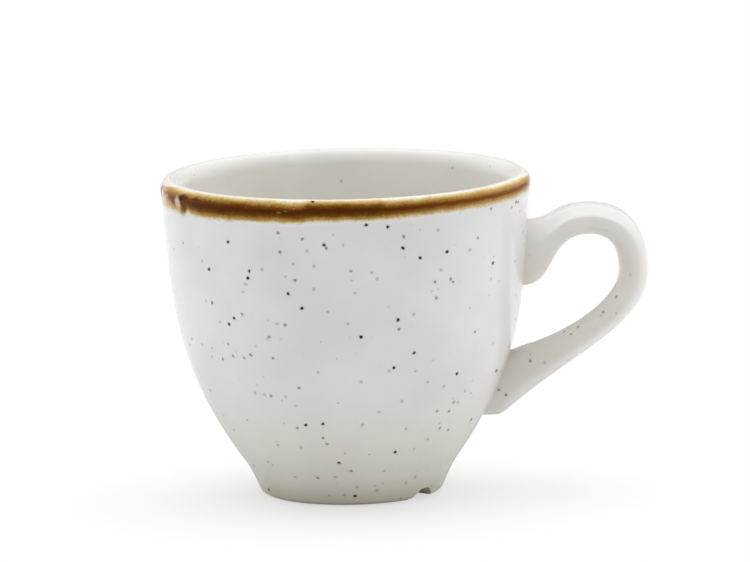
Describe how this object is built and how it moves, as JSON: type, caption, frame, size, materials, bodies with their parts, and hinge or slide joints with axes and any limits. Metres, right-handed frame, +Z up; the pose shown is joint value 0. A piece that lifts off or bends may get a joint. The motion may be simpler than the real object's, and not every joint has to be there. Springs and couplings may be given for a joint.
{
  "type": "espresso cup",
  "caption": "Small white speckled glazed espresso cup with a brown rim band, a tapered bowl on a notched foot and an ear-shaped loop handle.",
  "frame": {"origin": "centre of the standing face, in the plane of the table", "axes": "+Z up along the axis of the bowl, +X towards the handle, -Y towards the side that the picture shows"},
  "size_m": [0.0852, 0.065, 0.056],
  "materials": {
    "clay": "matte fired clay, seen on the standing ring and in the drain notch",
    "slip": "matte fired slip",
    "glaze": "glossy white with small dark brown specks",
    "band": "glossy brown, streaky, amber at both edges"
  },
  "bodies": {
    "root": {"bowl": "clay", "handle": "clay", "upper_handle_joint": "slip", "lower_handle_joint": "slip", "outer_glaze": "glaze", "inner_glaze": "glaze", "base_glaze": "glaze", "handle_glaze": "glaze", "rim_band": "band"}
  },
  "joints": []
}
